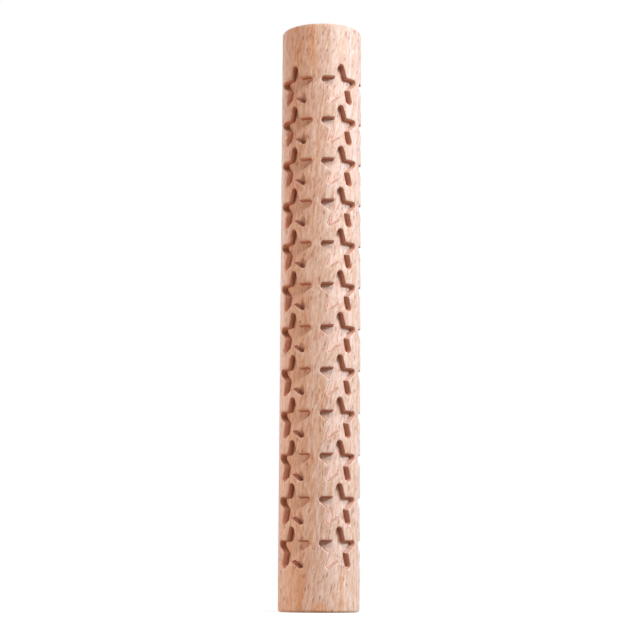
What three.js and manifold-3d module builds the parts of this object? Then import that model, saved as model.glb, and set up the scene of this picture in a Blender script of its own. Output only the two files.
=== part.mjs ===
// Embossing roller: a small rolling pin without handles, turned from one beech dowel. Rows of
// five-armed stars are cut into its round side, so rolled dough takes them up as raised stars.
//
// The roller stands on end. +Z runs along its axis, the origin is the middle of its lower end, and
// -Y is its front. Lengths are in millimetres and angles in degrees.

import * as THREE from 'three';
import { mergeGeometries, mergeVertices } from 'three/addons/utils/BufferGeometryUtils.js';
import Module from 'manifold-3d';

const wasm = await Module();
wasm.setup();

// The turned dowel
const rollerDiameter = 20;
const rollerLength = 145.6;
const rimRounding = 0.7;

// The pattern. plainEnd is the smooth wood between the stars and each end, starReach runs from a
// star's middle to the end of an arm, and tipRounding is the radius of the arm's round end. All
// three are measured on the round side.
const plainEnd = 10.3;
const starReach = 5.55;
const tipRounding = 0.9;

// A tapered cutter made the pockets, so their walls lean. wallSlope is how far a wall comes in
// between the round side and the pocket's floor.
const pocketDepth = 1.5;
const wallSlope = 0.5;

// How far the first column of stars is turned from the front, towards +X
const patternTurn = 29.3;

// The least wood left between two stars, as a share of a star's own width or height
const leastLandShare = 0.02;

// The cutting solids stand this far out of the wood
const overrun = 1;

const armCount = 5;
const sideFacets = 40;
const rimSteps = 3;
const tipSteps = 3;

const rollerRadius = rollerDiameter / 2;
const floorRadius = rollerRadius - pocketDepth;
const fullTurn = 2 * Math.PI;
const armStep = fullTurn / armCount;

// Joins a geometry's shared corners and hands it over as a solid. Triangles that have closed to a
// line, such as a lathe's at its axis, are left out.
function solidFrom(geometry) {
  const bare = geometry.clone();
  bare.deleteAttribute('normal');
  bare.deleteAttribute('uv');
  const joined = mergeVertices(bare);
  const corners = joined.index.array;
  const kept = [];
  for (let i = 0; i < corners.length; i += 3) {
    const [a, b, c] = corners.subarray(i, i + 3);
    if (a !== b && b !== c && c !== a) kept.push(a, b, c);
  }
  return new wasm.Manifold(new wasm.Mesh({
    numProp: 3,
    vertProperties: new Float32Array(joined.attributes.position.array),
    triVerts: new Uint32Array(kept),
  }));
}

function geometryFrom(solid) {
  const mesh = solid.getMesh();
  const geometry = new THREE.BufferGeometry();
  geometry.setAttribute('position', new THREE.BufferAttribute(mesh.vertProperties, 3));
  geometry.setIndex(new THREE.BufferAttribute(mesh.triVerts, 1));
  geometry.computeVertexNormals();
  return geometry;
}

// The point at a distance from a centre, in a direction given in radians
function pointFrom(centre, direction, distance) {
  return new THREE.Vector2(Math.cos(direction), Math.sin(direction)).multiplyScalar(distance).add(centre);
}

// Rounds one corner of the profile, from one direction through a quarter turn
function rimArc(centre, firstDirection) {
  const arc = [];
  for (let step = 0; step <= rimSteps; step++) {
    arc.push(pointFrom(centre, firstDirection + step / rimSteps * Math.PI / 2, rimRounding));
  }
  return arc;
}

// The plain dowel with both rims eased, turned about Z. A lathe's own axis is Y.
function dowel() {
  const across = rollerRadius - rimRounding;
  const profile = [
    new THREE.Vector2(0, 0),
    ...rimArc(new THREE.Vector2(across, rimRounding), -Math.PI / 2),
    ...rimArc(new THREE.Vector2(across, rollerLength - rimRounding), 0),
    new THREE.Vector2(0, rollerLength),
  ];
  return solidFrom(new THREE.LatheGeometry(profile, sideFacets).rotateX(Math.PI / 2));
}

// One star laid flat, as points around and along the roller from the star's middle, with an arm
// pointing up. The arms are a regular star's, and each ends in an arc that runs smoothly into its
// straight sides. An arm's arc comes first, then the sharp corner between it and the next arm.
// inset is how far the outline runs inside the one on the round side.
function starOutline(inset) {
  const middle = new THREE.Vector2(0, 0);
  const halfTip = Math.PI / 2 - armStep;
  const arcRadius = tipRounding - inset;
  const sharpReach = starReach - tipRounding + arcRadius / Math.sin(halfTip);
  const waist = sharpReach * Math.cos(armStep) / Math.cos(armStep / 2);
  const points = [];
  for (let arm = 0; arm < armCount; arm++) {
    const direction = Math.PI / 2 + arm * armStep;
    const arcCentre = pointFrom(middle, direction, starReach - tipRounding);
    for (let step = 0; step <= tipSteps; step++) {
      const turned = direction + armStep * (2 * step / tipSteps - 1);
      points.push(pointFrom(arcCentre, turned, arcRadius));
    }
    points.push(pointFrom(middle, direction + armStep / 2, waist));
  }
  return points;
}

const outline = starOutline(0);
const floorOutline = starOutline(wallSlope);
const outerOutline = starOutline(-wallSlope * overrun / pocketDepth);
const starBox = new THREE.Box2().setFromPoints(outline);
const starSize = starBox.getSize(new THREE.Vector2());

// As many columns as fit round the roller, and as many rows as fit between its plain ends
const columnCount = Math.floor(Math.PI * rollerDiameter / (starSize.x * (1 + leastLandShare)));
const rowRun = rollerLength - 2 * plainEnd - starSize.y;
const rowCount = Math.floor(rowRun / (starSize.y * (1 + leastLandShare))) + 1;
const rowPitch = rowRun / (rowCount - 1);
const lowestRow = plainEnd - starBox.min.y;

// The triangles of one flat star, as places in the outline, with the star's middle listed after
// it: a wedge from the middle to each pair of inner corners, and a fan over each arm.
function starTriangles() {
  const triangles = [];
  const armLength = outline.length / armCount;
  for (let first = 0; first < outline.length; first += armLength) {
    const cornerBefore = (first + outline.length - 1) % outline.length;
    const cornerAfter = first + armLength - 1;
    triangles.push([outline.length, cornerBefore, cornerAfter]);
    for (let i = first; i < cornerAfter; i++) triangles.push([cornerBefore, i, i + 1]);
  }
  return triangles;
}

// A star-shaped plug wrapped round the roller, from the pocket's floor out through the wood. Its
// sides lean out as the walls do.
function starPlug(turn, height) {
  const positions = [];
  for (const [radius, points] of [[floorRadius, floorOutline], [rollerRadius + overrun, outerOutline]]) {
    for (const point of [...points, new THREE.Vector2(0, 0)]) {
      const angle = turn + point.x / rollerRadius;
      positions.push(radius * Math.sin(angle), -radius * Math.cos(angle), height + point.y);
    }
  }
  const outer = outline.length + 1;
  const corners = [];
  for (const [a, b, c] of starTriangles()) {
    corners.push(a, c, b);
    corners.push(outer + a, outer + b, outer + c);
  }
  for (let i = 0; i < outline.length; i++) {
    const next = (i + 1) % outline.length;
    corners.push(i, next, outer + next);
    corners.push(i, outer + next, outer + i);
  }
  const plug = new THREE.BufferGeometry();
  plug.setAttribute('position', new THREE.Float32BufferAttribute(positions, 3));
  plug.setIndex(corners);
  return plug;
}

// Every plug of the pattern, as one solid of separate lumps
function patternPlugs() {
  const plugs = [];
  for (let column = 0; column < columnCount; column++) {
    const turn = THREE.MathUtils.degToRad(patternTurn) + fullTurn * column / columnCount;
    for (let row = 0; row < rowCount; row++) {
      plugs.push(starPlug(turn, lowestRow + row * rowPitch));
    }
  }
  return solidFrom(mergeGeometries(plugs));
}

// Sanded beech without varnish
function beech() {
  return new THREE.MeshStandardMaterial({ color: 0xdcb59d, roughness: 0.62, metalness: 0 });
}

// The whole roller: the dowel less its star pockets
function rollerBody() {
  const body = new THREE.Mesh(geometryFrom(dowel().subtract(patternPlugs())), beech());
  body.name = 'roller_body';
  return body;
}

const rollingPin = new THREE.Group();
rollingPin.add(rollerBody());

export default rollingPin;
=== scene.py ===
"""Embossing roller: a handleless beech rolling pin with star pockets, stood on its end.

Laid out as a Blender add-on. Lengths are in metres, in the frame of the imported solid: +Z runs along
the roller, and -Y is its front.
"""

import math
from typing import NamedTuple

import bmesh
import bpy
from bpy.props import FloatProperty, FloatVectorProperty, PointerProperty
from mathutils import Matrix, Vector
from mathutils.geometry import delaunay_2d_cdt


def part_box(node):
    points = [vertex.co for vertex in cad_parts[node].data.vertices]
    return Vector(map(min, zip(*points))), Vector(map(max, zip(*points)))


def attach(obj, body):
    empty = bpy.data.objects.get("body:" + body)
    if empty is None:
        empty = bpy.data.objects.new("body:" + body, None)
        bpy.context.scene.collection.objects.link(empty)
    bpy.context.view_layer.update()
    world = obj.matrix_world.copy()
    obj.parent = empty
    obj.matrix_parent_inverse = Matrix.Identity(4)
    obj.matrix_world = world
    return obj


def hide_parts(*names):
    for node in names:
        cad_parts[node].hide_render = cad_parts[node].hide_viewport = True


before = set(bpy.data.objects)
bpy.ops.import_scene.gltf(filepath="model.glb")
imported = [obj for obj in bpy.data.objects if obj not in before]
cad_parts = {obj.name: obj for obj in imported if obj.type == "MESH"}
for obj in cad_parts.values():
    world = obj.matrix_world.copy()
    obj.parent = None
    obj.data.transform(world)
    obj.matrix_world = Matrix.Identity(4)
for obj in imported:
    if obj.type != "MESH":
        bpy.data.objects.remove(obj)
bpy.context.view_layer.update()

bl_info = {
    "name": "Embossing Roller",
    "version": (1, 0, 0),
    "blender": (4, 5, 0),
    "location": "3D View > Sidebar > Roller",
    "description": "Makes a beech roller with rows of star pockets, and a plain studio round it",
    "category": "Add Mesh",
}

MM = 0.001
FULL_TURN = 2 * math.pi
ROLLER_LOW, ROLLER_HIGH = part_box("roller_body")
ROLLER_RADIUS = (ROLLER_HIGH.x - ROLLER_LOW.x) / 2
ROLLER_LENGTH = ROLLER_HIGH.z - ROLLER_LOW.z
ARM_COUNT = 5
ARM_STEP = FULL_TURN / ARM_COUNT

# Places of the roller's five materials in its material list
OUTER_WOOD, EDGE_WOOD, WALL_WOOD, FLOOR_WOOD, END_WOOD = range(5)

# Radius of the inner corners of a star's outline on the round side. It is more than half the lip's
# width, so that the corners stay round where the outline runs outside that line.
CORNER_ROUNDING = 0.08 * MM

# Steps of the mesh round an inner corner, down the lip and the wall, and over the rim and the end
CORNER_STEPS = 4
LIP_STEPS = 3
WALL_STEPS = 3
RIM_STEPS = 6
END_STEPS = 9
LEAST_ARC_STEPS = 4
LEAST_SIDE_STEPS = 2

# Free points inside a filled area keep this share of the mesh step away from its outline
CLEAR_SHARE = 0.55

# The mesh of the plain ends is coarser along the roller by this much
MARGIN_STRETCH = 1.5

# The line between one star's cell and the next one up: how far below the upright arm's tip it runs at
# the cell's sides, how far it rises from there to pass over the tip, and how wide the rise is
SEAM_DROP = 0.65 * MM
SEAM_RISE = 1.65 * MM
SEAM_SPREAD = 1.5 * MM

# Points closer than these are one point: in the flat filling, and where the sheets meet on the roller
SAME_POINT = 1e-7
WELD_DISTANCE = 0.002 * MM

# Edges that bend more than this, in degrees, are shaded as sharp
SHARP_ANGLE = 50


def linear(red, green, blue):
    """A colour named in 0 to 255 screen values, as Blender's linear colour."""
    shares = [value / 255 for value in (red, green, blue)]
    return tuple(s / 12.92 if s <= 0.04045 else ((s + 0.055) / 1.055) ** 2.4 for s in shares)


def length(name, description, millimetres):
    return FloatProperty(name=name, description=description, default=millimetres * MM, unit="LENGTH")


def turn(name, description, degrees):
    return FloatProperty(name=name, description=description, default=math.radians(degrees), unit="ROTATION")


def colour(name, description, red, green, blue):
    return FloatVectorProperty(
        name=name, description=description, subtype="COLOR", size=3, min=0, max=1,
        default=linear(red, green, blue),
    )


def power(name, description, watts):
    return FloatProperty(name=name, description=description, default=watts, unit="POWER")


class RollerSizes(bpy.types.PropertyGroup):
    rim_rounding: length("Rim rounding", "Radius of the eased rim at both ends", 0.7)
    plain_end: length("Plain end", "Smooth wood between the stars and each end", 10.3)
    star_reach: length("Star reach", "From a star's middle to the end of an arm", 5.55)
    tip_rounding: length("Tip rounding", "Radius of an arm's round end, on the round side", 0.9)
    pocket_depth: length("Pocket depth", "Depth of a pocket below the round side", 1.5)
    wall_slope: length("Wall slope", "How far a leaning wall comes in between side and floor", 0.5)
    pattern_turn: turn("Pattern turn", "Turn of the first column of stars from the front", 29.3)
    land: FloatProperty(
        name="Least land", description="Least wood between two stars, as a share of a star",
        default=0.02, subtype="FACTOR",
    )
    lip: length("Lip", "Width of the softened edge round each pocket", 0.12)
    mesh_step: length("Mesh step", "Spacing of the mesh over the round side", 0.55)


class BeechColours(bpy.types.PropertyGroup):
    pale: colour("Pale wood", "Pinkish light wood of most of the surface", 226, 197, 181)
    warm: colour("Warm wood", "Tan bands of the grain", 211, 168, 137)
    line: colour("Growth line", "Orange brown lines of late wood, and dark fibres", 190, 126, 90)
    streak: colour("Streak", "Single orange streaks that run along the grain", 214, 156, 106)
    fleck: colour("Fleck", "Short dark flecks of the wood's rays", 156, 100, 77)
    # Partly painted highlight: the edge colour makes the pockets' softened lips pale all round, standing in
    # for light that catches them; as light fibres it is the grain's own.
    edge: colour("Edge", "Sanded edges of the pockets, and light fibres", 237, 217, 204)
    fresh: colour("Fresh wood", "Freshly cut wood of the pockets' floors", 223, 193, 175)
    # Partly painted shade: the wall colour is darker and browner than the wood to stand for the shade inside
    # the pockets, over at most a slight real browning of the cut walls.
    wall: colour("Wall", "Browned walls of the pockets, near their edge", 216, 152, 124)
    # Painted shade: the corner colour darkens the walls' foot and the walls that face up and to +X, where
    # the pockets lie in shade.
    corner: colour("Corner", "Foot of the walls, and the walls that face up and to +X", 142, 81, 60)
    end: colour("End wood", "Darker wood of the two end faces", 205, 160, 130)


class StudioSettings(bpy.types.PropertyGroup):
    floor: colour("Floor", "Matt floor, which the camera sees as white", 168, 152, 138)
    sky: colour("Sky", "Soft light that comes from all round", 255, 214, 184)
    sky_strength: FloatProperty(name="Sky strength", description="Strength of the sky's light", default=0.05)
    key_power: power("Key power", "Main lamp, up on the right of the camera", 7.4)
    key_colour: colour("Key colour", "Colour of the key lamp", 230, 245, 255)
    top_power: power("Top power", "Soft lamp, high above the camera", 3.92)
    top_colour: colour("Top colour", "Colour of the top lamp", 255, 240, 233)
    side_power: power("Side power", "Soft lamp on the roller's right side", 1.28)
    side_colour: colour("Side colour", "Colour of the side lamp", 190, 220, 255)
    left_power: power("Left power", "Warm lamp on the roller's left side", 1.17)
    left_colour: colour("Left colour", "Colour of the left lamp", 255, 196, 152)
    back_power: power("Back power", "Weak lamp behind on the left", 0.8)
    back_colour: colour("Back colour", "Colour of the back lamp", 232, 247, 255)
    low_power: power("Low power", "Small lamp by the floor, on the left", 0.064)
    low_colour: colour("Low colour", "Colour of the low lamp", 255, 235, 215)


# Star outline


def from_centre(centre, direction, distance):
    return centre + distance * Vector((math.cos(direction), math.sin(direction)))


def star_outline(sizes, inset=0.0):
    """One flat star as a closed loop of points round its middle, with an arm pointing up.

    Each arm ends in an arc that runs smoothly into its straight sides, and the arms meet in rounded
    corners. inset is how far the loop runs inside the one on the round side. Loops of any inset have
    the same number of points.
    """
    middle = Vector((0, 0))
    corner_radius = CORNER_ROUNDING + inset
    arc_distance = sizes.star_reach - sizes.tip_rounding
    sharp_reach = arc_distance + sizes.tip_rounding / math.sin(math.pi / 2 - ARM_STEP)
    waist = sharp_reach * math.cos(ARM_STEP) / math.cos(ARM_STEP / 2)
    waist += CORNER_ROUNDING / math.cos(ARM_STEP / 2)
    arc_run = 2 * ARM_STEP * sizes.tip_rounding
    arc_steps = max(LEAST_ARC_STEPS, round(arc_run / (sizes.mesh_step / 2)))
    side_steps = max(LEAST_SIDE_STEPS, round((arc_distance - waist) / sizes.mesh_step))
    points = []
    for arm in range(ARM_COUNT):
        direction = math.pi / 2 + arm * ARM_STEP
        arc_centre = from_centre(middle, direction, arc_distance)
        before = from_centre(middle, direction - ARM_STEP / 2, waist)
        after = from_centre(middle, direction + ARM_STEP / 2, waist)
        inward = direction + math.pi
        arc, corner = [], []
        for i in range(arc_steps + 1):
            turned = direction + ARM_STEP * (2 * i / arc_steps - 1)
            arc.append(from_centre(arc_centre, turned, sizes.tip_rounding - inset))
        for i in range(CORNER_STEPS + 1):
            turned = inward + ARM_STEP * (1 - i / CORNER_STEPS)
            corner.append(from_centre(after, turned, corner_radius))
        side_start = from_centre(before, inward - ARM_STEP, corner_radius)
        points += [side_start.lerp(arc[0], i / side_steps) for i in range(1, side_steps)]
        points += arc
        points += [arc[-1].lerp(corner[0], i / side_steps) for i in range(1, side_steps)]
        points += corner
    return points


def is_inside(point, loop):
    """Whether an odd number of the closed loop's edges lie to the right of the point."""
    inside = False
    for a, b in zip(loop, loop[1:] + loop[:1]):
        if (a.y > point.y) != (b.y > point.y):
            if point.x < a.x + (point.y - a.y) / (b.y - a.y) * (b.x - a.x):
                inside = not inside
    return inside


def honeycomb(low, high, step):
    """Points of an even three-way grid between two corners."""
    rise = step * math.sqrt(3) / 2
    points = []
    for row in range(int((high.y - low.y) / rise) + 1):
        shift = step / 2 * (row % 2)
        for place in range(int((high.x - low.x) / step) + 1):
            points.append(Vector((low.x + shift + place * step, low.y + row * rise)))
    return points


def fill(loops, keep, step):
    """Triangles between closed loops of points. keep says whether a point lies in the filled area."""
    fixed = [point for loop in loops for point in loop]
    edges = []
    for loop in loops:
        start = len(edges)
        edges += [(start + i, start + (i + 1) % len(loop)) for i in range(len(loop))]
    low = Vector((min(p.x for p in fixed), min(p.y for p in fixed)))
    high = Vector((max(p.x for p in fixed), max(p.y for p in fixed)))
    clear = step * CLEAR_SHARE
    free = [
        point for point in honeycomb(low, high, step)
        if keep(point) and min((point - other).length_squared for other in fixed) > clear**2
    ]
    points, _, faces, *_ = delaunay_2d_cdt(fixed + free, edges, [], 0, SAME_POINT)
    kept = []
    for face in faces:
        centre = sum((points[i] for i in face), Vector((0, 0))) / len(face)
        if keep(centre):
            kept.append(face)
    return points, kept


class Pattern:
    """The star pattern's counts and places, worked out from the sizes as the solid's are."""

    def __init__(self, sizes):
        self.sizes = sizes
        star = star_outline(sizes)
        star_low = min(p.y for p in star)
        self.star_high = max(p.y for p in star)
        star_width = 2 * max(p.x for p in star)
        star_height = self.star_high - star_low
        share = 1 + sizes.land
        self.columns = int(FULL_TURN * ROLLER_RADIUS / (star_width * share))
        row_run = ROLLER_LENGTH - 2 * sizes.plain_end - star_height
        self.rows = int(row_run / (star_height * share)) + 1
        self.row_pitch = row_run / (self.rows - 1)
        self.lowest_row = sizes.plain_end - star_low
        self.cell_width = FULL_TURN * ROLLER_RADIUS / self.columns
        self.cell_steps = round(self.cell_width / sizes.mesh_step)

    def seam(self, around):
        """Height above a star's middle of the line that parts it from the row above.

        It rises in the middle of the cell to pass over the upright arm, between the lower arms of
        the next star.
        """
        side = self.star_high - SEAM_DROP
        return side + SEAM_RISE * math.exp(-((around / SEAM_SPREAD) ** 2))

    def places_across(self):
        """The mesh's places across one cell, from its left side to its right."""
        half = self.cell_width / 2
        return [-half + i * self.cell_width / self.cell_steps for i in range(self.cell_steps + 1)]

    def seam_points(self, rows_up):
        """The seam's points across one cell, some rows above the star's own."""
        lift = rows_up * self.row_pitch
        return [Vector((x, self.seam(x) + lift)) for x in self.places_across()]

    def cell_loop(self):
        low, high = self.seam_points(-1), self.seam_points(0)
        side_steps = round(self.row_pitch / self.sizes.mesh_step)
        right = [low[-1].lerp(high[-1], i / side_steps) for i in range(1, side_steps)]
        left = [high[0].lerp(low[0], i / side_steps) for i in range(1, side_steps)]
        return low + right + high[::-1] + left


def on_roller(around, along, depth):
    """The point some way round the roller, up it and under its skin."""
    angle = around / ROLLER_RADIUS
    radius = ROLLER_RADIUS - depth
    return Vector((radius * math.sin(angle), -radius * math.cos(angle), along))


class Sheet:
    """A mesh in the making: points round, along and under the skin, and faces with a material."""

    def __init__(self):
        self.points = []
        self.faces = []

    def add(self, points, depth, faces, material):
        start = len(self.points)
        self.points += [(p.x, p.y, depth) for p in points]
        self.faces += [(tuple(start + i for i in face), material) for face in faces]
        return start

    def add_ring(self, points, depth):
        return self.add(points, depth, [], None)

    def join_rings(self, outer, inner, count, material):
        for i in range(count):
            j = (i + 1) % count
            self.faces.append(((outer + i, outer + j, inner + j, inner + i), material))


def pocket_cell(pattern):
    """One star pocket and the land round it."""
    sizes = pattern.sizes
    half_lip = sizes.lip / 2
    if half_lip >= CORNER_ROUNDING or sizes.wall_slope >= sizes.tip_rounding:
        raise ValueError("The lip or the walls' slope is too wide for the stars' round corners")
    lip_line = star_outline(sizes, -half_lip)
    foot = star_outline(sizes, sizes.wall_slope)
    cell = pattern.cell_loop()
    sheet = Sheet()

    def on_land(point):
        return is_inside(point, cell) and not is_inside(point, lip_line)

    points, faces = fill([cell, lip_line], on_land, sizes.mesh_step)
    sheet.add(points, 0, faces, OUTER_WOOD)
    steepness = sizes.pocket_depth / sizes.wall_slope
    rings = [(sheet.add_ring(lip_line, 0), EDGE_WOOD)]
    for i in range(1, LIP_STEPS + 1):
        share = i / LIP_STEPS
        inset = sizes.lip * (share - 0.5)
        down = half_lip * steepness * share**2
        rings.append((sheet.add_ring(star_outline(sizes, inset), down), EDGE_WOOD))
    for i in range(1, WALL_STEPS + 1):
        inset = half_lip + (sizes.wall_slope - half_lip) * i / WALL_STEPS
        rings.append((sheet.add_ring(star_outline(sizes, inset), inset * steepness), WALL_WOOD))
    for (outer, _), (inner, material) in zip(rings, rings[1:]):
        sheet.join_rings(outer, inner, len(foot), material)
    points, faces = fill([foot], lambda point: is_inside(point, foot), sizes.mesh_step)
    sheet.add(points, sizes.pocket_depth, faces, FLOOR_WOOD)
    return sheet


def plain_margin(pattern, seam, far_height):
    """One cell's width of plain wood between a seam and the rounding of a rim."""
    steps = round(abs(seam[0].y - far_height) / (pattern.sizes.mesh_step * MARGIN_STRETCH))
    sheet = Sheet()
    rows = []
    for i in range(steps + 1):
        share = i / steps
        row = [Vector((p.x, p.y + (far_height - p.y) * share)) for p in seam]
        rows.append(sheet.add_ring(row, 0))
    upward = 1 if far_height > seam[0].y else -1
    for lower, upper in zip(rows, rows[1:]):
        for i in range(len(seam) - 1):
            face = (lower + i, lower + i + 1, upper + i + 1, upper + i)
            sheet.faces.append((face[::upward], OUTER_WOOD))
    return sheet


def rim_and_end(pattern, at_top):
    """One cell's width of a rim's rounding, and the wedge of the end face inside it."""
    outward = 1 if at_top else -1
    end_height = ROLLER_LENGTH if at_top else 0
    xs = pattern.places_across()
    rounding = pattern.sizes.rim_rounding
    profile = []
    for i in range(RIM_STEPS + 1):
        angle = math.pi / 2 * i / RIM_STEPS
        depth = rounding * (1 - math.cos(angle))
        height = end_height - outward * rounding * (1 - math.sin(angle))
        profile.append((depth, height, OUTER_WOOD))
    for i in range(1, END_STEPS + 1):
        depth = rounding + (ROLLER_RADIUS - rounding) * i / END_STEPS
        profile.append((depth, end_height, END_WOOD))
    sheet = Sheet()
    rows = [sheet.add_ring([Vector((x, height)) for x in xs], depth) for depth, height, _ in profile]
    for (lower, upper), (_, _, material) in zip(zip(rows, rows[1:]), profile[1:]):
        for i in range(len(xs) - 1):
            face = (lower + i, lower + i + 1, upper + i + 1, upper + i)
            sheet.faces.append((face[::outward], material))
    return sheet


def place(builder, sheet, around, along):
    """Copies a sheet on to the roller, shifted round it and along it."""
    corners = []
    for x, y, depth in sheet.points:
        corners.append(builder.verts.new(on_roller(x + around, y + along, depth)))
    for face, material in sheet.faces:
        made = builder.faces.new([corners[i] for i in face])
        made.material_index = material
        made.smooth = True


def roller_mesh(sizes):
    pattern = Pattern(sizes)
    cell = pocket_cell(pattern)
    top_row = pattern.lowest_row + (pattern.rows - 1) * pattern.row_pitch
    low_rim = sizes.rim_rounding - pattern.lowest_row
    high_rim = ROLLER_LENGTH - sizes.rim_rounding - top_row
    low_margin = plain_margin(pattern, pattern.seam_points(-1), low_rim)
    high_margin = plain_margin(pattern, pattern.seam_points(0), high_rim)
    ends = [rim_and_end(pattern, at_top) for at_top in (False, True)]
    builder = bmesh.new()
    for column in range(pattern.columns):
        around = sizes.pattern_turn * ROLLER_RADIUS + column * pattern.cell_width
        for row in range(pattern.rows):
            place(builder, cell, around, pattern.lowest_row + row * pattern.row_pitch)
        place(builder, low_margin, around, pattern.lowest_row)
        place(builder, high_margin, around, top_row)
        for end in ends:
            place(builder, end, around, 0)
    bmesh.ops.remove_doubles(builder, verts=builder.verts, dist=WELD_DISTANCE)
    mesh = bpy.data.meshes.new("star_roller")
    builder.to_mesh(mesh)
    builder.free()
    mesh.set_sharp_from_angle(angle=math.radians(SHARP_ANGLE))
    return mesh


# Materials


class Nodes:
    """Short ways to add linked nodes to a node tree."""

    def __init__(self, tree):
        self.tree = tree

    def add(self, kind, label="", **settings):
        """A new node with a label and settings of its own."""
        node = self.tree.nodes.new(kind)
        node.label = label
        for name, value in settings.items():
            setattr(node, name, value)
        return node

    def set(self, socket, value):
        """Links an input to another node's output, or gives it a plain value."""
        if isinstance(value, bpy.types.NodeSocket):
            self.tree.links.new(value, socket)
        elif socket.type == "RGBA":
            socket.default_value = (*value, 1)
        else:
            socket.default_value = value

    def math(self, operation, a, b=0.0, label=""):
        node = self.add("ShaderNodeMath", label, operation=operation)
        self.set(node.inputs[0], a)
        self.set(node.inputs[1], b)
        return node.outputs[0]

    def mix(self, share, first, second, label):
        """A colour between two: all of the first at 0, all of the second at 1."""
        node = self.add("ShaderNodeMix", label, data_type="RGBA")
        self.set(node.inputs["Factor"], share)
        for name, colour_given in (("A", first), ("B", second)):
            self.set(self.colour_socket(node.inputs, name), colour_given)
        return self.colour_socket(node.outputs, "Result")

    def colour_socket(self, sockets, name):
        """The Mix node's socket of this name that carries a colour."""
        return next(socket for socket in sockets if socket.name == name and socket.type == "RGBA")

    def ramp(self, value, low, high, to_low=0.0, to_high=1.0):
        """Runs smoothly from to_low, where value is at low, to to_high, where it is at high."""
        node = self.add("ShaderNodeMapRange", interpolation_type="SMOOTHSTEP")
        self.set(node.inputs["Value"], value)
        self.set(node.inputs["From Min"], low)
        self.set(node.inputs["From Max"], high)
        self.set(node.inputs["To Min"], to_low)
        self.set(node.inputs["To Max"], to_high)
        return node.outputs["Result"]

    def vector(self, operation, a, b=(0, 0, 0), label=""):
        """The outcome of a vector sum: a number for a length or a dot product, else a vector."""
        node = self.add("ShaderNodeVectorMath", label, operation=operation)
        self.set(node.inputs[0], a)
        self.set(node.inputs[1], b)
        return node.outputs["Value" if operation in ("LENGTH", "DOT_PRODUCT") else "Vector"]

    def combine(self, x=0.0, y=0.0, z=0.0):
        node = self.add("ShaderNodeCombineXYZ")
        for name, value in zip("XYZ", (x, y, z)):
            self.set(node.inputs[name], value)
        return node.outputs["Vector"]

    def separate(self, vector):
        node = self.add("ShaderNodeSeparateXYZ")
        self.set(node.inputs["Vector"], vector)
        return node.outputs

    def noise(self, spot, squeeze, detail, roughness, label):
        """Noise over a place that is first squeezed by an amount for each axis."""
        node = self.add("ShaderNodeTexNoise", label)
        self.set(node.inputs["Vector"], self.vector("MULTIPLY", spot, squeeze))
        self.set(node.inputs["Scale"], 1.0)
        self.set(node.inputs["Detail"], detail)
        self.set(node.inputs["Roughness"], roughness)
        return node.outputs["Fac"]

    def flecks(self, spot, squeeze, width, strength, chance, label):
        """Spindle-shaped flecks as a mask, one at most in each cell of a squeezed pattern.

        width holds the distances from a cell's middle between which a fleck fades, and chance the
        cells' own random numbers between which a fleck goes from missing to its full strength.
        """
        cells = self.add("ShaderNodeTexVoronoi", label, feature="F1")
        self.set(cells.inputs["Vector"], self.vector("MULTIPLY", spot, squeeze))
        self.set(cells.inputs["Scale"], 1.0)
        tint = self.add("ShaderNodeSeparateColor")
        self.set(tint.inputs[0], cells.outputs["Color"])
        spindle = self.ramp(cells.outputs["Distance"], *width, strength, 0)
        return self.math("MULTIPLY", spindle, self.ramp(tint.outputs["Red"], *chance))


def group_tree(name, inputs, outputs):
    """A new shader node group with its sockets, and the nodes that stand for them inside it."""
    tree = bpy.data.node_groups.new(name, "ShaderNodeTree")
    for title, kind, default in inputs:
        socket = tree.interface.new_socket(title, in_out="INPUT", socket_type="NodeSocket" + kind)
        if default is not None:
            socket.default_value = default
    for title in outputs:
        tree.interface.new_socket(title, in_out="OUTPUT", socket_type="NodeSocketFloat")
    nodes = Nodes(tree)
    return tree, nodes, nodes.add("NodeGroupInput").outputs, nodes.add("NodeGroupOutput").inputs


# The grain, in millimetres: where the tree's pith was, seen from the roller's axis, how far its rings
# lie apart, how far slow noise bends them, how far the flecks wander, and how far they lean to +X for
# each millimetre up
PITH = (6.0, 62.0, 0.0)
RING_SPACING = 1.7
RING_BEND = 5.0
FLECK_WANDER = 1.6
FLECK_LEAN = 0.15


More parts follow.
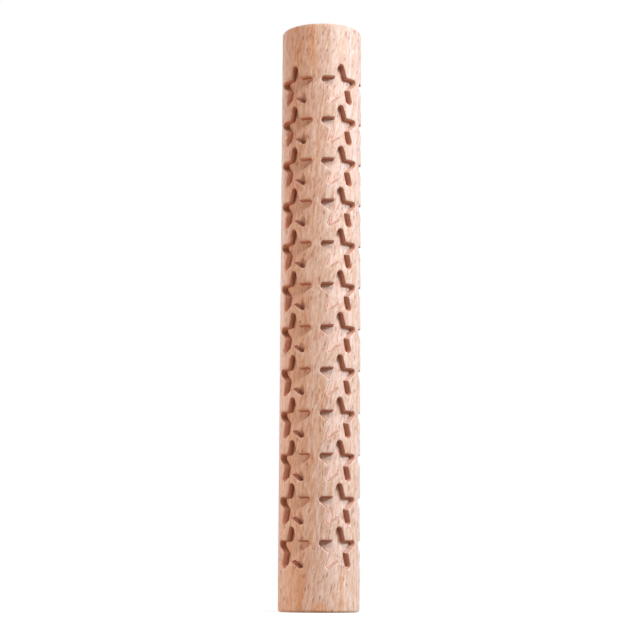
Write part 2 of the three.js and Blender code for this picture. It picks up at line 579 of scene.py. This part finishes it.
def grain_group():
    """Node group: beech grain as masks, from a place in the wood in millimetres with Z along it."""
    tree, nodes, given, result = group_tree(
        "Beech Grain", [("Place", "Vector", None), ("Fleck Length", "Float", 2.8)],
        ("Band", "Growth Line", "Fleck", "Fibre"),
    )
    spot = given["Place"]

    # Growth rings about the pith: each line darkens slowly and ends sharply
    from_pith = nodes.vector("SUBTRACT", spot, PITH, "from the pith")
    across = nodes.vector("MULTIPLY", from_pith, (1, 1, 0), "across the grain")
    distance = nodes.vector("LENGTH", across, label="distance from the pith")
    bend = nodes.noise(spot, (0.16, 0.16, 0.03), 2.0, 0.5, "slow bend")
    ring = nodes.math("ADD", distance, nodes.math("MULTIPLY", bend, RING_BEND))
    phase = nodes.math("FRACT", nodes.math("MULTIPLY", ring, 1 / RING_SPACING), label="place in the ring")
    line = nodes.math("MULTIPLY", nodes.ramp(phase, 0.6, 0.97), nodes.ramp(phase, 0.97, 1.0, 1, 0))
    nodes.set(result["Growth Line"], line)

    band = nodes.noise(spot, (0.9, 0.9, 0.07), 4.0, 0.65, "bands")
    nodes.set(result["Band"], nodes.ramp(band, 0.3, 0.7))

    # Rays cut across show as flecks, which wander and lean
    wander = nodes.noise(spot, (0.5, 0.5, 0.12), 1.0, 0.5, "wander")
    wander = nodes.math("MULTIPLY", wander, FLECK_WANDER)
    lean = nodes.math("MULTIPLY", nodes.separate(spot)["Z"], FLECK_LEAN)
    sideways = nodes.combine(x=nodes.math("SUBTRACT", wander, lean))
    leaning = nodes.vector("ADD", spot, sideways, "leaning")
    squeeze = nodes.combine(1.25, 0.5, nodes.math("DIVIDE", 1.0, given["Fleck Length"]))
    large = nodes.flecks(leaning, squeeze, (0.1, 0.35), 1, (0.1, 0.5), "large flecks")
    small = nodes.flecks(leaning, (2.1, 0.9, 0.75), (0.1, 0.4), 0.55, (0.2, 0.7), "small flecks")
    nodes.set(result["Fleck"], nodes.math("MAXIMUM", large, small))

    nodes.set(result["Fibre"], nodes.noise(leaning, (1.7, 1.7, 0.32), 5.0, 0.68, "fibres"))
    return tree


# What places one streak, with a plain streak's values: lengths in millimetres, and the lean in
# millimetres across for each millimetre up
STREAK_INPUTS = (
    ("Middle X", 0.0), ("Middle Z", 0.0), ("Half Width", 1.0), ("Half Length", 5.0), ("Lean", 0.0),
)

# A streak wavers by up to half of this, in millimetres, to each side
STREAK_WAVER = 1.6

# A streak fades out between these places in Y, in millimetres, from the front to the sides
FRONT_RUN = (-4, 0)


def streak_group():
    """Node group: one streak on the roller's front, as a mask, placed in millimetres."""
    inputs = [("Place", "Vector", None)] + [(name, "Float", value) for name, value in STREAK_INPUTS]
    tree, nodes, given, result = group_tree("Streak", inputs, ("Streak",))
    place_in_wood = nodes.separate(given["Place"])
    wave = nodes.noise(given["Place"], (0.3, 0.3, 0.22), 2.0, 0.5, "wave")
    wave = nodes.math("MULTIPLY", nodes.math("SUBTRACT", wave, 0.5), STREAK_WAVER)
    along = nodes.math("SUBTRACT", place_in_wood["Z"], given["Middle Z"])
    across = nodes.math("SUBTRACT", place_in_wood["X"], given["Middle X"])
    across = nodes.math("SUBTRACT", across, nodes.math("MULTIPLY", along, given["Lean"]))
    across = nodes.math("ADD", across, wave)
    side = nodes.math("DIVIDE", nodes.math("ABSOLUTE", across), given["Half Width"])
    end = nodes.math("DIVIDE", nodes.math("ABSOLUTE", along), given["Half Length"])
    mask = nodes.math("MULTIPLY", nodes.ramp(side, 0.15, 1.0, 1, 0), nodes.ramp(end, 0.4, 1.0, 1, 0))
    front = nodes.ramp(place_in_wood["Y"], *FRONT_RUN, 1, 0)
    nodes.set(result["Streak"], nodes.math("MULTIPLY", mask, front))
    return tree


# Streaks on the front, each with its numbers for STREAK_INPUTS and then its strength
STREAKS = (
    (-2.3, 139.5, 1.7, 9.0, 0.03, 0.6),
    (-1.1, 111.0, 0.5, 8.0, 0.02, 0.5),
    (0.4, 49.0, 0.55, 17.0, 0.08, 0.75),
    (-4.8, 4.0, 1.1, 9.0, 0.05, 0.8),
    (5.4, 4.5, 0.7, 8.0, 0.05, 0.6),
    (0.2, 0.0, 2.6, 3.2, 0.0, 0.9),
)


class Finish(NamedTuple):
    """One finish of the beech: the two colours its bands run between, and the strength of the rest."""

    name: str
    first: str
    second: str
    line_share: float
    fleck_share: float
    roughness: float
    bump: float
    light_fibres: float = 0.8
    sheen: float = 0.25


# The five finishes, in the order of the roller's material list
FINISHES = (
    Finish("Beech side", "pale", "warm", 0.16, 0.72, 0.55, 0.5),
    # The pocket edge finish is pale partly as a painted highlight along the lips.
    Finish("Beech pocket edge", "edge", "pale", 0.2, 0.4, 0.55, 0.3),
    Finish("Beech pocket wall", "wall", "wall", 0.2, 0.4, 0.75, 0.5, light_fibres=0.2, sheen=0.1),
    Finish("Beech pocket floor", "fresh", "pale", 0.16, 0.6, 0.65, 0.5),
    Finish("Beech end", "end", "warm", 0.5, 0.5, 0.8, 0.5),
)

# Painted shade: the walls turn darker and browner towards their foot, between these distances from the axis,
# in millimetres
FOOT_SHADE_RUN = (8.4, 9.8)

# The ways that the side of a pocket with painted light (facing up and to -X) and the side with painted shade
# (facing up and to +X) face, and the share that each takes
PAINTED_LIGHT_SIDE = (-0.7, 0, 0.7)
PAINTED_SHADE_SIDE = (0.7, 0, 0.7)
PAINTED_SIDE_SHARE = 0.85

# How far the roughness varies with the fibres, to each side of its middle
ROUGHNESS_SPREAD = 0.06

# Height of the fibres' relief
RELIEF_HEIGHT = 0.05 * MM


def paint_wall_light_and_shade(nodes, where, spot, tone, colours):
    """The walls' colour, with painted shade at their foot and on the side of a pocket that faces up and to
    +X, and painted light on the side that faces up and to -X.
    """
    pale, corner = tuple(colours.pale), tuple(colours.corner)
    from_axis = nodes.vector("LENGTH", nodes.vector("MULTIPLY", spot, (1, 1, 0)), label="from the axis")
    # Painted shade: darker and browner towards the walls' foot, deep in the pocket.
    tone = nodes.mix(nodes.ramp(from_axis, *FOOT_SHADE_RUN, 1, 0), tone, corner, "painted shade at the foot")
    # Painted light: paler on the walls that face up and to -X.
    faces_painted_light = nodes.vector("DOT_PRODUCT", where.outputs["Normal"], PAINTED_LIGHT_SIDE)
    tone = nodes.mix(nodes.ramp(faces_painted_light, 0.45, 0.7, 0, PAINTED_SIDE_SHARE), tone, pale, "painted light side")
    # Painted shade: browner on the walls that face up and to +X.
    faces_painted_shade = nodes.vector("DOT_PRODUCT", where.outputs["Normal"], PAINTED_SHADE_SIDE)
    return nodes.mix(nodes.ramp(faces_painted_shade, 0.4, 0.65, 0, PAINTED_SIDE_SHARE), tone, corner, "painted shade side")


def with_streaks(nodes, streak, spot, tone, colours):
    """The colour with each of the front's streaks laid over it."""
    for *numbers, strength in STREAKS:
        mark = nodes.add("ShaderNodeGroup", node_tree=streak)
        nodes.set(mark.inputs["Place"], spot)
        for (name, _), number in zip(STREAK_INPUTS, numbers):
            nodes.set(mark.inputs[name], number)
        share = nodes.math("MULTIPLY", mark.outputs["Streak"], strength)
        tone = nodes.mix(share, tone, tuple(colours.streak), "streak")
    return tone


def wood_material(finish, grain, streak, colours):
    """Beech in one finish, whose grain shows in colour, roughness and relief."""
    material = bpy.data.materials.new(finish.name)
    material.use_nodes = True
    nodes = Nodes(material.node_tree)
    shader = material.node_tree.nodes["Principled BSDF"]
    where = nodes.add("ShaderNodeTexCoord")
    spot = nodes.vector("MULTIPLY", where.outputs["Object"], (1 / MM,) * 3, "millimetres")
    wood = nodes.add("ShaderNodeGroup", node_tree=grain)
    nodes.set(wood.inputs["Place"], spot)
    first, second = tuple(getattr(colours, finish.first)), tuple(getattr(colours, finish.second))
    tone = nodes.mix(wood.outputs["Band"], first, second, "bands")
    # The walls get painted shade at their foot and on one side, and painted light on the other.
    if finish is FINISHES[WALL_WOOD]:
        tone = paint_wall_light_and_shade(nodes, where, spot, tone, colours)
    line = nodes.math("MULTIPLY", wood.outputs["Growth Line"], finish.line_share)
    tone = nodes.mix(line, tone, tuple(colours.line), "growth lines")
    if finish is FINISHES[OUTER_WOOD]:
        tone = with_streaks(nodes, streak, spot, tone, colours)
    dark = nodes.ramp(wood.outputs["Fibre"], 0.52, 0.3, 0, 0.75)
    tone = nodes.mix(dark, tone, tuple(colours.line), "dark fibres")
    light = nodes.ramp(wood.outputs["Fibre"], 0.5, 0.7, 0, finish.light_fibres)
    tone = nodes.mix(light, tone, tuple(colours.edge), "light fibres")
    fleck = nodes.math("MULTIPLY", wood.outputs["Fleck"], finish.fleck_share)
    tone = nodes.mix(fleck, tone, tuple(colours.fleck), "flecks")
    nodes.set(shader.inputs["Base Color"], tone)
    smoothest, roughest = finish.roughness - ROUGHNESS_SPREAD, finish.roughness + ROUGHNESS_SPREAD
    nodes.set(shader.inputs["Roughness"], nodes.ramp(wood.outputs["Fibre"], 0.2, 0.8, smoothest, roughest))
    shader.inputs["Sheen Weight"].default_value = finish.sheen
    shader.inputs["Sheen Roughness"].default_value = 0.5
    relief = nodes.add("ShaderNodeBump")
    relief.inputs["Distance"].default_value = RELIEF_HEIGHT
    relief.inputs["Strength"].default_value = finish.bump
    height = nodes.math("SUBTRACT", wood.outputs["Fibre"], wood.outputs["Fleck"])
    nodes.set(relief.inputs["Height"], height)
    nodes.set(shader.inputs["Normal"], relief.outputs["Normal"])
    return material


class ROLLER_OT_make_roller(bpy.types.Operator):
    """Make the roller: one turned piece of beech with its star pockets"""

    bl_idname = "roller.make_roller"
    bl_label = "Make the roller"

    def execute(self, context):
        mesh = roller_mesh(context.scene.roller_sizes)
        roller = bpy.data.objects.new("star_roller", mesh)
        context.scene.collection.objects.link(roller)
        grain = grain_group()
        streak = streak_group()
        for finish in FINISHES:
            mesh.materials.append(wood_material(finish, grain, streak, context.scene.roller_colours))
        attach(roller, "root")
        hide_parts("roller_body")
        return {"FINISHED"}


# The photograph's camera, fitted to the roller's outline and rows: its place, its lens and its
# sensor in mm, and its tilt up from level and its roll in degrees
CAMERA_PLACE = (-0.075, -427.7, 8.52)
FOCAL_LENGTH = 97.43
SENSOR_WIDTH = 36
CAMERA_TILT = 8.43
CAMERA_ROLL = 0.325


def add_camera(scene):
    lens = bpy.data.cameras.new("camera")
    lens.sensor_width = SENSOR_WIDTH
    lens.lens = FOCAL_LENGTH
    lens.clip_start = 0.01
    lens.clip_end = 20
    camera = bpy.data.objects.new("camera", lens)
    scene.collection.objects.link(camera)
    camera.matrix_world = (
        Matrix.Translation([value * MM for value in CAMERA_PLACE])
        @ Matrix.Rotation(math.radians(90 + CAMERA_TILT), 4, "X")
        @ Matrix.Rotation(math.radians(CAMERA_ROLL), 4, "Z")
    )
    scene.camera = camera


# Each lamp: turn from the front towards +X in degrees, then distance, height and width in mm
LAMP_PLACES = {
    "key": (60, 800, 516, 140),
    "top": (20, 540, 720, 200),
    "side": (100, 544, 327, 140),
    "left": (-80, 600, 73, 140),
    "back": (-135, 570, 180, 140),
    "low": (-85, 170, 12, 30),
}


def add_lamp(scene, name):
    """A round soft lamp that faces the middle of the roller."""
    turn_degrees, distance, height, width = LAMP_PLACES[name]
    lamp = bpy.data.lights.new(name, "AREA")
    lamp.shape = "DISK"
    lamp.size = width * MM
    lamp.energy = getattr(scene.roller_studio, name + "_power")
    lamp.color = getattr(scene.roller_studio, name + "_colour")
    holder = bpy.data.objects.new(name, lamp)
    scene.collection.objects.link(holder)
    angle = math.radians(turn_degrees)
    holder.location = Vector((distance * math.sin(angle), -distance * math.cos(angle), height)) * MM
    holder.rotation_mode = "QUATERNION"
    aim = Vector((0, 0, ROLLER_LENGTH / 2)) - holder.location
    holder.rotation_quaternion = aim.to_track_quat("-Z", "Y")


def seen_directly(nodes):
    """1 where a camera, mirror or glass ray looks straight at the surface, else 0."""
    path = nodes.add("ShaderNodeLightPath")
    first = nodes.math("MAXIMUM", path.outputs["Is Camera Ray"], path.outputs["Is Glossy Ray"])
    return nodes.math("MAXIMUM", first, path.outputs["Is Transmission Ray"])


# The floor, in metres: half its width, how far it lies under the roller, and the distances between
# which its glow rises from the share beside the roller to full white
FLOOR_HALF = 3.0
FLOOR_DROP = 0.0001
GLOW_RUN = (0.05, 0.5)
GLOW_BESIDE_ROLLER = 0.84


def add_floor(scene, studio):
    """A matt floor that takes the roller's shadow and looks white to the camera."""
    mesh = bpy.data.meshes.new("floor")
    corners = [(x * FLOOR_HALF, y * FLOOR_HALF, 0) for x, y in ((-1, -1), (1, -1), (1, 1), (-1, 1))]
    mesh.from_pydata(corners, [], [(0, 1, 2, 3)])
    floor = bpy.data.objects.new("floor", mesh)
    floor.location.z = -FLOOR_DROP
    scene.collection.objects.link(floor)
    material = bpy.data.materials.new("Pale floor")
    material.use_nodes = True
    nodes = Nodes(material.node_tree)
    shader = material.node_tree.nodes["Principled BSDF"]
    shader.inputs["Base Color"].default_value = (*studio.floor, 1)
    shader.inputs["Roughness"].default_value = 0.9
    shader.inputs["Specular IOR Level"].default_value = 0.0
    glow = nodes.add("ShaderNodeEmission")
    glow.inputs["Color"].default_value = (1, 1, 1, 1)
    where = nodes.add("ShaderNodeTexCoord")
    away = nodes.vector("LENGTH", where.outputs["Object"], label="distance from the roller")
    white = nodes.ramp(away, *GLOW_RUN, GLOW_BESIDE_ROLLER, 1.0)
    nodes.set(glow.inputs["Strength"], nodes.math("MULTIPLY", seen_directly(nodes), white))
    both = nodes.add("ShaderNodeAddShader")
    nodes.set(both.inputs[0], shader.outputs[0])
    nodes.set(both.inputs[1], glow.outputs[0])
    nodes.set(material.node_tree.nodes["Material Output"].inputs["Surface"], both.outputs[0])
    mesh.materials.append(material)


def add_sky(scene, studio):
    """Weak light from all round, and white wherever the camera sees past the floor."""
    world = bpy.data.worlds.new("studio")
    world.use_nodes = True
    scene.world = world
    nodes = Nodes(world.node_tree)
    light = world.node_tree.nodes["Background"]
    light.inputs["Color"].default_value = (*studio.sky, 1)
    light.inputs["Strength"].default_value = studio.sky_strength
    white = nodes.add("ShaderNodeBackground")
    white.inputs["Color"].default_value = (1, 1, 1, 1)
    white.inputs["Strength"].default_value = 1
    choice = nodes.add("ShaderNodeMixShader")
    nodes.set(choice.inputs[0], seen_directly(nodes))
    nodes.set(choice.inputs[1], light.outputs[0])
    nodes.set(choice.inputs[2], white.outputs[0])
    nodes.set(world.node_tree.nodes["World Output"].inputs["Surface"], choice.outputs[0])


class ROLLER_OT_make_stage(bpy.types.Operator):
    """Make the plain studio: pale floor, white sky, soft lamps and the camera"""

    bl_idname = "roller.make_stage"
    bl_label = "Make the studio"

    def execute(self, context):
        scene = context.scene
        studio = scene.roller_studio
        add_camera(scene)
        add_floor(scene, studio)
        add_sky(scene, studio)
        for name in LAMP_PLACES:
            add_lamp(scene, name)
        scene.view_settings.view_transform = "Standard"
        return {"FINISHED"}


class ROLLER_PT_panel(bpy.types.Panel):
    """Sidebar panel with the roller's sizes, colours and buttons"""

    bl_label = "Embossing Roller"
    bl_idname = "ROLLER_PT_panel"
    bl_space_type = "VIEW_3D"
    bl_region_type = "UI"
    bl_category = "Roller"

    def draw(self, context):
        for operator in (ROLLER_OT_make_roller, ROLLER_OT_make_stage):
            self.layout.operator(operator.bl_idname)
        for group in (context.scene.roller_sizes, context.scene.roller_colours, context.scene.roller_studio):
            box = self.layout.box()
            for name in group.__annotations__:
                box.prop(group, name)


CLASSES = (
    RollerSizes, BeechColours, StudioSettings,
    ROLLER_OT_make_roller, ROLLER_OT_make_stage, ROLLER_PT_panel,
)


def register():
    for cls in CLASSES:
        bpy.utils.register_class(cls)
    bpy.types.Scene.roller_sizes = PointerProperty(type=RollerSizes)
    bpy.types.Scene.roller_colours = PointerProperty(type=BeechColours)
    bpy.types.Scene.roller_studio = PointerProperty(type=StudioSettings)


def unregister():
    del bpy.types.Scene.roller_studio
    del bpy.types.Scene.roller_colours
    del bpy.types.Scene.roller_sizes
    for cls in reversed(CLASSES):
        bpy.utils.unregister_class(cls)


def main():
    register()
    bpy.ops.roller.make_roller()
    bpy.ops.roller.make_stage()


if __name__ == "__main__":
    main()
